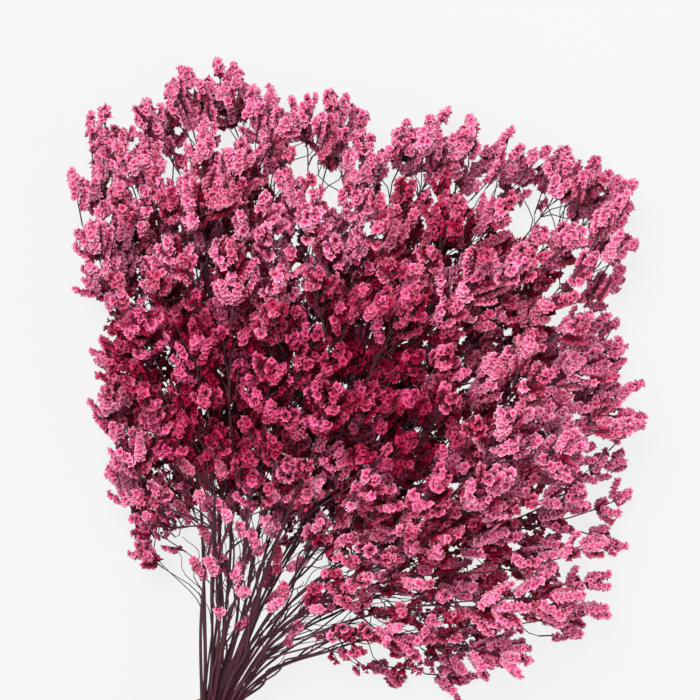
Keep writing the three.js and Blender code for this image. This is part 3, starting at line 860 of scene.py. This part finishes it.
def dress_spikelet(a, b, c, up, leans, wood, blossom, tint, openness, hidden, rng):
    """A curved stalk with florets in rows along its outer side."""
    stalk = quadratic(a, b, c, 1 if hidden else 2)
    wood.tube(stalk, *SPIKELET_WOOD, SPIKELET_TINT)
    length = np.linalg.norm(np.diff(stalk, axis=0), axis=1).sum()
    count = max(LEAST_FLORETS, round(FLOWERING_SHARE * length / (HIDDEN_STEP if hidden else FLORET_STEP)))
    t = (BARE_SHARE + (1 - BARE_SHARE) * (np.arange(count) + 0.5) / count)[:, None]
    centres = (1 - t) ** 2 * a + 2 * (1 - t) * t * b + t**2 * c
    ahead = units(2 * (1 - t) * (b - a) + 2 * t * (c - b))
    lift = units(up - ahead * (ahead @ up)[:, None])
    side = np.cross(ahead, lift)
    lean = (leans[np.arange(count) % len(leans)] + rng.normal(0, LEAN_STRAY, count))[:, None]
    forward = FLORET_FORWARD + END_FORWARD * t**3 + rng.normal(0, FORWARD_STRAY, (count, 1))
    ways = lift * np.cos(lean) + side * np.sin(lean) + ahead * forward
    tints = np.clip(tint + OUTER_END * (t[:, 0] - 0.5) + rng.normal(0, TINT_STRAY, count), 0, 1)
    blossom.add(centres, ways, tints, openness)


# Painted shade lies deepest in a few places of the fan, given by x, y and reach in millimetres of the layout.
PAINTED_SHADE_PLACES = ((81, 174, 80), (0, 139, 70), (-29, 178, 55), (113, 241, 50), (98, 132, 50))
PAINTED_LIT_SIDE = 0.3  # how much paler a head is painted on its side towards the light's way below: a painted highlight
PAINTED_LIGHT_WAY = np.array([-0.25, 0.45, 0.85])
OUTER_END = 0.24  # how much paler a spikelet is at its outer end than at its root
HEAD_PALENESS = 0.64
PAINTED_SHADE_SHARE = 0.2  # of that paleness, where the painted shade is deepest
TINT_SPREAD = (-0.08, 0.34)
PALEST = 1.15
CLUMP_SHARE = 0.2  # how much the dye varies from one clump of heads to the next
CLUMPS = 5
CLUMP_PACE = 0.085
CLUMP_WAVES = np.random.default_rng(3).normal(0, CLUMP_PACE, (CLUMPS, 3))
CLUMP_STARTS = np.random.default_rng(4).uniform(0, math.tau, CLUMPS)


def paleness_with_painted_shade_at(point):
    """How pale the flowers are at a place, from 0 where the painted shade is deepest to PALEST, with the
    clumps' random tone.
    """
    clump = np.sin(CLUMP_WAVES @ point + CLUMP_STARTS).sum() / math.sqrt(CLUMPS)
    pale = min(smooth(math.hypot(point[0] - x, point[1] - y) / reach) for x, y, reach in PAINTED_SHADE_PLACES)
    return clamp(pale + CLUMP_SHARE * clump, 0, PALEST)


# One head. Places and lengths along it are shares of its length, and those outwards of its radius.
OPEN_FROM, OPEN_SPAN = 0.5, 0.45  # the share of the outline's reach over which the painted shade lessens as the bunch opens to the light
HEAD_WOOD = (0.46, 0.3, 4)
HEAD_TINT = 0.3
STALK_PLACES = (0, 0.35, 0.7)
NODE_GAP = 13  # between the nodes of a head that its spikelets spring from
NODES_FROM, NODES_SPAN = 0.08, 0.58
NODE_STRAY = 0.6
NODE_FULLNESS = (0.8, 1.25)
SPIKELET_STRAY = 0.05
SPIKELET_LENGTH = (0.2, 0.4)
SPIKELET_SPREAD = (0.9, 1.5)
SPIKELET_BEND = (0.35, 0.6)
FURTHEST_END = 0.94
TURN_STRAY = 0.2
SHORTEST_REACH = 1.2
TOP_SPIKELET = (0.58, 0.92)
TOP_BEND = 0.06


def dress_head(head, wood, blossom, rng):
    """A head as a stalk with curved spikelets round it and one on top."""
    base, axis, length, radius = head["base"], head["axis"], head["length"], head["radius"]
    first = unit(np.cross(axis, SIDEWAYS))
    second = np.cross(axis, first)
    middle = base + axis * (0.5 * length)
    theta, rho = polar(middle)
    hidden = middle[2] < DEEP and rho < DEEP_WITHIN * reach_at(theta)
    # Painted shade: heads in the painted shade places get a deeper tint.
    pale = paleness_with_painted_shade_at(middle)
    tint = head.get("paleness", HEAD_PALENESS) * mix(PAINTED_SHADE_SHARE, 1, pale) + rng.uniform(*TINT_SPREAD)
    wood.tube(np.array([base + axis * (s * length) for s in STALK_PLACES]), *HEAD_WOOD, HEAD_TINT)
    # Openness sets how much painted shade the florets get: least at the open edge, more inside the bunch, and
    # below zero in the painted shade places.
    openness = smooth((rho / reach_at(theta) - OPEN_FROM) / OPEN_SPAN) - max(0, 1 - pale)
    count = max(2, round(length * radius / (LOOSE_AREA if theta > LOOSE_FROM else SPIKELET_AREA)))
    turn = rng.uniform(0, math.tau)
    nodes = max(2, round(length / NODE_GAP))
    places = NODES_FROM + NODES_SPAN * (np.arange(nodes) + rng.uniform(0, NODE_STRAY, nodes)) / nodes
    fullness = rng.uniform(*NODE_FULLNESS, nodes)
    for i in range(count):
        share = places[i % nodes] + rng.uniform(0, SPIKELET_STRAY)
        end = min(FURTHEST_END, share + rng.uniform(*SPIKELET_LENGTH))
        if head.get("one_sided"):
            angle = turn + rng.uniform(-1, 1)
        else:
            angle = turn + (i * GOLDEN_ANGLE + rng.normal(0, TURN_STRAY))
        out = first * math.cos(angle) + second * math.sin(angle)
        spread = rng.uniform(*SPIKELET_SPREAD) * fullness[i % nodes]
        reach = max(SHORTEST_REACH, radius * spread * head_profile(0.5 * (share + end)) - FLORET_HEIGHT)
        a = base + axis * (share * length)
        b = a + axis * (SPIKELET_BEND[0] * (end - share) * length) + out * (SPIKELET_BEND[1] * reach)
        c = base + axis * (end * length) + out * reach
        # Painted highlight: spikelets on the side of the head that faces the light are paler.
        shade = tint + PAINTED_LIT_SIDE * (out @ PAINTED_LIGHT_WAY)
        dress_spikelet(a, b, c, out + 0.2 * axis, ONE_SIDE, wood, blossom, shade, openness, hidden, rng)
    a, c = (base + axis * (share * length) for share in TOP_SPIKELET)
    b = 0.5 * (a + c) + first * (TOP_BEND * length * rng.uniform(-1, 1))
    dress_spikelet(a, b, c, first, ALL_ROUND, wood, blossom, tint, openness, hidden, rng)


# Stems: each CAD stem stands for a thick and a thin one that lie side by side in the band.
DRESS_SEED = 1000
THICK_STEM = (0.95, 1.5)
STEM_END = 0.45
THIN_STEM_END = 0.4
STEM_SIDES = 6
STEM_RIDGE = 0.1
LOWER_STEPS = 8
PART_WAYS = 4.6  # how far the two stems of a pair stray from each other
TWIG_WOOD = (0.6, 0.38, 4)
SHOOT_WOOD = (0.42, 0.3, 3)
TWIG_TINT = (0, 0.7)

# Strays: thin shoots low on the stems, some with a few florets. Shares are of a stray's length.
STRAYS = 6
STRAY_FROM = (30, 130)
STRAY_LENGTH = (14, 55)
STRAY_STEPS = 10
STRAY_END = (0.85, 0.38)  # along the stem and away from it
STRAY_BEND = (0.5, 0.08)
STRAY_SWAY = 0.06
STRAY_LOWEST = 6
STRAY_WOOD = (0.4, 0.2, 3)
STRAY_TINT = (0, 0.6)
STRAYS_IN_FLOWER = 0.5
STRAY_FLOWERS = (9, 19)
STRAY_FLOWERS_TINT = (0.2, 0.9)
STRAY_OPENNESS = 0.5


def lower_line(spray, aside):
    """The straight part of a stem, from its cut end through the band."""
    above_band = spray["curve"][0]
    return np.array([mix(spray["cut"], above_band, k / LOWER_STEPS) for k in range(LOWER_STEPS)]) + aside


def dress_spray(spray, rng):
    """The wood and the florets of one spray, with both its stems."""
    wood, blossom = Wood(), Blossom()
    curve = spray["line"]
    thick = rng.uniform(*THICK_STEM)
    thin = STEM_RADIUS - thick
    out = unit(spray["offset"]) * rng.choice([-1, 1])
    fade = np.linspace(1, 0, len(curve))[:, None]
    main = np.vstack([lower_line(spray, out * thin), curve + out * thin * fade])
    wood.tube(main, thick, STEM_END, STEM_SIDES, rng.uniform(0, 1), STEM_RIDGE, True)
    dress_head(spray["head"], wood, blossom, rng)
    twigs = sorted(spray["twigs"], key=lambda twig: -length_of(twig["root"] - twig["head"]["base"]))
    for place, twig in enumerate(twigs):
        if place == 0:
            line = companion_line(spray, twig, -out * thick, rng)
            wood.tube(line, thin, THIN_STEM_END, STEM_SIDES, rng.uniform(0, 1), STEM_RIDGE, True)
        else:
            wood.tube(twig["line"], *TWIG_WOOD, rng.uniform(*TWIG_TINT))
        dress_head(twig["head"], wood, blossom, rng)
    for shoot in spray["small"]:
        wood.tube(shoot["line"], *SHOOT_WOOD, rng.uniform(*TWIG_TINT))
        dress_head(shoot["head"], wood, blossom, rng)
    for _ in range(STRAYS):
        dress_stray(curve, wood, blossom, rng)
    return wood, blossom


def companion_line(spray, twig, aside, rng):
    """The second stem, which runs beside the first up to the twig that it ends as."""
    root = nearest_on(spray["line"], twig["root"])
    share = np.arange(root)[:, None] / max(1, root)
    apart = aside * (1 - share**4) + sway(root, PART_WAYS, rng)
    return np.vstack([lower_line(spray, aside), spray["line"][:root] + apart, twig["line"][1:]])


def dress_stray(curve, wood, blossom, rng):
    at = min(int(np.searchsorted(distance_along(curve), rng.uniform(*STRAY_FROM))), len(curve) - 4)
    along = unit(curve[at + 1] - curve[at - 1])
    out = rng.normal(0, 1, 3)
    out[2] = abs(out[2])
    out = unit(out - along * (out @ along))
    length = rng.uniform(*STRAY_LENGTH)
    a = curve[at]
    b = a + along * (STRAY_BEND[0] * length) + out * (STRAY_BEND[1] * length)
    c = a + along * (STRAY_END[0] * length) + out * (STRAY_END[1] * length)
    c[2] = max(c[2], STRAY_LOWEST)
    line = quadratic(a, b, c, STRAY_STEPS)
    sways = sway(STRAY_STEPS + 1, STRAY_SWAY * length, rng)
    wood.tube(line + sways, *STRAY_WOOD, rng.uniform(*STRAY_TINT))
    if rng.uniform() < STRAYS_IN_FLOWER:
        way = unit(line[-1] - line[-2])
        size = rng.uniform(*STRAY_FLOWERS)
        middle = c + way * (0.5 * size) + out * (0.1 * size)
        up = unit(np.array([0, 0, 1.0]) + 0.6 * out)
        tint = rng.uniform(*STRAY_FLOWERS_TINT)
        end = c + way * size
        dress_spikelet(c, middle, end, up, ONE_SIDE, wood, blossom, tint, STRAY_OPENNESS, False, rng)


def srgb(red, green, blue):
    """A colour in the renderer's own light values, from the values 0 to 255 that a screen shows."""
    values = [x / 255 for x in (red, green, blue)]
    linear = [x / 12.92 if x <= 0.04045 else ((x + 0.055) / 1.055) ** 2.4 for x in values]
    return (*linear, 1)


class Look:
    """A material, with short ways to add the nodes that lead to its shader."""

    def __init__(self, name):
        self.material = bpy.data.materials.new(name)
        self.material.use_nodes = True
        self.nodes = self.material.node_tree.nodes

    def fill(self, node, **values):
        """Gives a node's inputs plain values or other nodes' outputs, and returns its own outputs."""
        for name, value in values.items():
            socket = node.inputs[name.replace("_", " ")]
            if isinstance(value, bpy.types.NodeSocket):
                self.material.node_tree.links.new(value, socket)
            else:
                socket.default_value = value
        return node.outputs

    def shade(self, **values):
        self.fill(self.nodes["Principled BSDF"], **values)
        return self.material

    def node(self, kind, **values):
        return self.fill(self.nodes.new("ShaderNode" + kind), **values)

    def attribute(self, name, output="Fac"):
        node = self.nodes.new("ShaderNodeAttribute")
        node.attribute_name = name
        return node.outputs[output]

    def mix(self, name, first, second):
        """A mix of two colours by one of the mesh's own values."""
        node = self.nodes.new("ShaderNodeMix")
        node.data_type = "RGBA"
        return self.fill(node, Factor=self.attribute(name), A=first, B=second)["Result"]

    def ramp(self, along, stops):
        node = self.nodes.new("ShaderNodeValToRGB")
        elements = node.color_ramp.elements
        while len(elements) < len(stops):
            elements.new(0.5)
        for element, (position, colour) in zip(elements, stops):
            element.position = position
            element.color = colour
        return self.fill(node, Fac=along)["Color"]


def floret_material():
    """Dyed papery calyx: nearly black in the throat, partly as painted shade, crimson below and pale pink on
    the lobes. The deep colours also serve as painted shade for florets with a low tint or rim value.
    """
    look = Look("dyed_calyx_painted_shade")
    rim = look.attribute("rim")
    deep = look.ramp(rim, [
        (0.0, srgb(36, 0, 8)), (0.12, srgb(78, 0, 20)), (0.35, srgb(132, 4, 40)), (0.75, srgb(163, 14, 58)),
        (1.0, srgb(189, 46, 90)),
    ])
    pale = look.ramp(rim, [
        (0.0, srgb(84, 4, 30)), (0.12, srgb(142, 18, 66)), (0.35, srgb(206, 68, 122)),
        (0.75, srgb(227, 124, 162)), (1.0, srgb(241, 200, 218)),
    ])
    return look.shade(Base_Color=look.mix("tint", deep, pale), Roughness=0.78, Specular_IOR_Level=0.06)


def stem_material():
    """Dry ridged stems that took up the dye: dark purple-brown with redder streaks and pale cut ends."""
    look = Look("dyed_stem")
    grain = look.node("Mapping", Vector=look.attribute("grain", "Vector"), Scale=(2.2, 2.2, 0.05))["Vector"]
    streaks = look.node("TexNoise", Vector=grain, Scale=3, Detail=4)["Fac"]
    dark = look.ramp(streaks, [(0.3, srgb(30, 14, 24)), (0.7, srgb(78, 36, 54))])
    red = look.ramp(streaks, [(0.3, srgb(44, 9, 20)), (0.7, srgb(100, 24, 46))])
    skin = look.mix("tint", dark, red)
    bump = look.node("Bump", Height=streaks, Strength=0.5, Distance=0.0002)["Normal"]
    return look.shade(Base_Color=look.mix("pith", skin, srgb(196, 160, 128)), Roughness=0.7, Normal=bump)


def new_object(name, data):
    obj = bpy.data.objects.new(name, data)
    bpy.context.scene.collection.objects.link(obj)
    return obj


PRESSED = 0.0012  # what lies lower than this over the table, or in it, is pressed together above it


def make_object(name, vertices, faces, attributes, material):
    """A mesh from millimetres of the layout to metres of the frame, no lower than the table."""
    placed = vertices * MM + OFFSET
    height = placed[:, 2]
    placed[:, 2] = np.where(height < PRESSED, PRESSED * np.exp(np.minimum(height / PRESSED - 1, 0)), height)
    mesh = bpy.data.meshes.new(name)
    mesh.from_pydata(placed.tolist(), [], [list(face) for face in faces])
    for key, values in attributes.items():
        kind, field = ("FLOAT_VECTOR", "vector") if values.ndim == 2 else ("FLOAT", "value")
        mesh.attributes.new(key, kind, "POINT").data.foreach_set(field, values.astype(np.float32).ravel())
    mesh.materials.append(material)
    mesh.polygons.foreach_set("use_smooth", [True] * len(mesh.polygons))
    return new_object(name, mesh)


# Where the layout's origin lies in the frame, from the middle of the band in both.
band_low, band_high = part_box("elastic_band")
OFFSET = np.array((band_low + band_high) / 2) - BAND_CENTRE * MM

sprays, beads = lay_out()
for spray in sprays:
    grow_lines(spray, np.random.default_rng(LINE_SEED + spray["index"]))
add_small_heads(sprays, beads)

calyx, bark = floret_material(), stem_material()
dressed = []
for spray in sprays:
    rng = np.random.default_rng(DRESS_SEED + spray["index"])
    dressed.append((f"{spray['index'] + 1:02d}", rng, *dress_spray(spray, rng)))
crowd = Crowd(np.vstack([part[0] for _, _, _, blossom in dressed for part in blossom.parts]))
for number, rng, wood, blossom in dressed:
    vertices, grain, tint, pith = joined(wood.parts)
    values = {"grain": grain, "tint": tint, "pith": pith}
    stems = make_object("stems_" + number, vertices, wood.faces, values, bark)
    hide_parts("stem_" + number)
    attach(stems, "root")
    vertices, triangles, rim, tint = blossom.mesh(crowd, rng)
    flowers = make_object("flowers_" + number, vertices, triangles, {"rim": rim, "tint": tint}, calyx)
    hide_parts("florets_" + number)
    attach(flowers, "root")


# The elastic band as a thin rubber ring that is wound round the stems, out along them and back.
BAND_TURNS = 7
BAND_STEPS = 280
BAND_SIDES = 8
BAND_SWING = 3.5  # from its middle to its outermost turns
BAND_WAVER = 0.25
BAND_WAVERS = 5
BAND_RADIUS = BUNDLE_RADIUS + STEM_RADIUS + 1.15
BAND_LAYER = 0.4  # between the middle radius and each of the two layers
STRAND = (0.9, 0.42)  # half its width and half its thickness


def band_mesh():
    """Vertices and faces of the wound strand, a closed loop with a flat oval section."""
    t = np.linspace(0, 1, BAND_STEPS, endpoint=False)[:, None]
    turn = math.tau * BAND_TURNS * t
    out = np.cos(turn) * ACROSS_GRIP + np.sin(turn) * ABOVE_GRIP
    radius = BAND_RADIUS + BAND_LAYER * np.cos(math.tau * t)
    sideways = BAND_SWING * np.sin(math.tau * t) + BAND_WAVER * np.sin(BAND_WAVERS * turn / BAND_TURNS)
    middle = BAND_CENTRE + out * radius + GRIP * sideways
    angle = math.tau * np.arange(BAND_SIDES) / BAND_SIDES
    flat = STRAND[0] * np.cos(angle)[:, None] * GRIP
    section = flat + (STRAND[1] * np.sin(angle))[None, :, None] * out[:, None]
    vertices = (middle[:, None] + section).reshape(-1, 3)
    faces = []
    for i in range(BAND_STEPS):
        for k in range(BAND_SIDES):
            a, b = i * BAND_SIDES, (i + 1) % BAND_STEPS * BAND_SIDES
            after = (k + 1) % BAND_SIDES
            faces.append((a + k, b + k, b + after, a + after))
    return vertices, faces


def band_material():
    """Natural rubber, unevenly yellowed and a little dusty."""
    look = Look("rubber")
    cloud = look.node("TexNoise", Vector=look.node("TexCoord")["Object"], Scale=260, Detail=5)["Fac"]
    tone = look.ramp(cloud, [
        (0.3, srgb(172, 124, 78)), (0.55, srgb(200, 154, 104)), (0.75, srgb(220, 182, 136)),
    ])
    matt = look.ramp(cloud, [(0.3, (0.38, 0.38, 0.38, 1)), (0.7, (0.6, 0.6, 0.6, 1))])
    bump = look.node("Bump", Height=cloud, Strength=0.3, Distance=0.0001)["Normal"]
    return look.shade(Base_Color=tone, Roughness=matt, Normal=bump)


band = make_object("rubber_band", *band_mesh(), {}, band_material())
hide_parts("elastic_band")
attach(band, "root")


# The studio, in metres of the frame.
FLOOR_GAP = 0.0004
KEY = {"size": 0.8, "power": 37, "place": (-0.3, 0.55, 1.5), "target": (0, 0.02, 0.08)}
FILL = {"size": 1.2, "power": 20, "place": (1.0, -0.75, 1.1), "target": (0.06, -0.03, 0.05)}
PHOTO_CENTRE = np.array([66.7, 174.0, 60.0])  # of the layout, in the plane of the photo's scale
CAMERA_DISTANCE = 1.4
HALF_PHOTO = 0.203


def add_floor():
    bpy.ops.mesh.primitive_plane_add(size=8, location=(0, 0, -FLOOR_GAP))
    floor = bpy.context.object
    floor.name = "floor"
    floor.data.materials.append(Look("pale_floor").shade(
        Base_Color=srgb(60, 60, 60), Roughness=0.9, Emission_Color=(1, 1, 1, 1), Emission_Strength=0.82,
    ))
    floor.visible_diffuse = False


def area_light(name, size, power, place, target):
    light = bpy.data.lights.new(name, "AREA")
    light.size = size
    light.energy = power
    obj = new_object(name, light)
    obj.location = place
    obj.rotation_mode = "QUATERNION"
    obj.rotation_quaternion = (Vector(target) - Vector(place)).to_track_quat("-Z", "Y")


def add_lights():
    world = bpy.data.worlds.new("studio")
    world.use_nodes = True
    background = world.node_tree.nodes["Background"]
    background.inputs["Color"].default_value = (1, 1, 1, 1)
    background.inputs["Strength"].default_value = 0.22
    bpy.context.scene.world = world
    area_light("key", **KEY)
    area_light("fill", **FILL)


def add_camera():
    camera = bpy.data.cameras.new("camera")
    camera.sensor_width = 36
    camera.lens = 0.5 * camera.sensor_width * CAMERA_DISTANCE / HALF_PHOTO
    camera.clip_end = 20
    obj = new_object("camera", camera)
    obj.location = PHOTO_CENTRE * MM + OFFSET + np.array([0, 0, CAMERA_DISTANCE])
    bpy.context.scene.camera = obj


add_floor()
add_lights()
add_camera()
bpy.context.scene.view_settings.view_transform = "Standard"
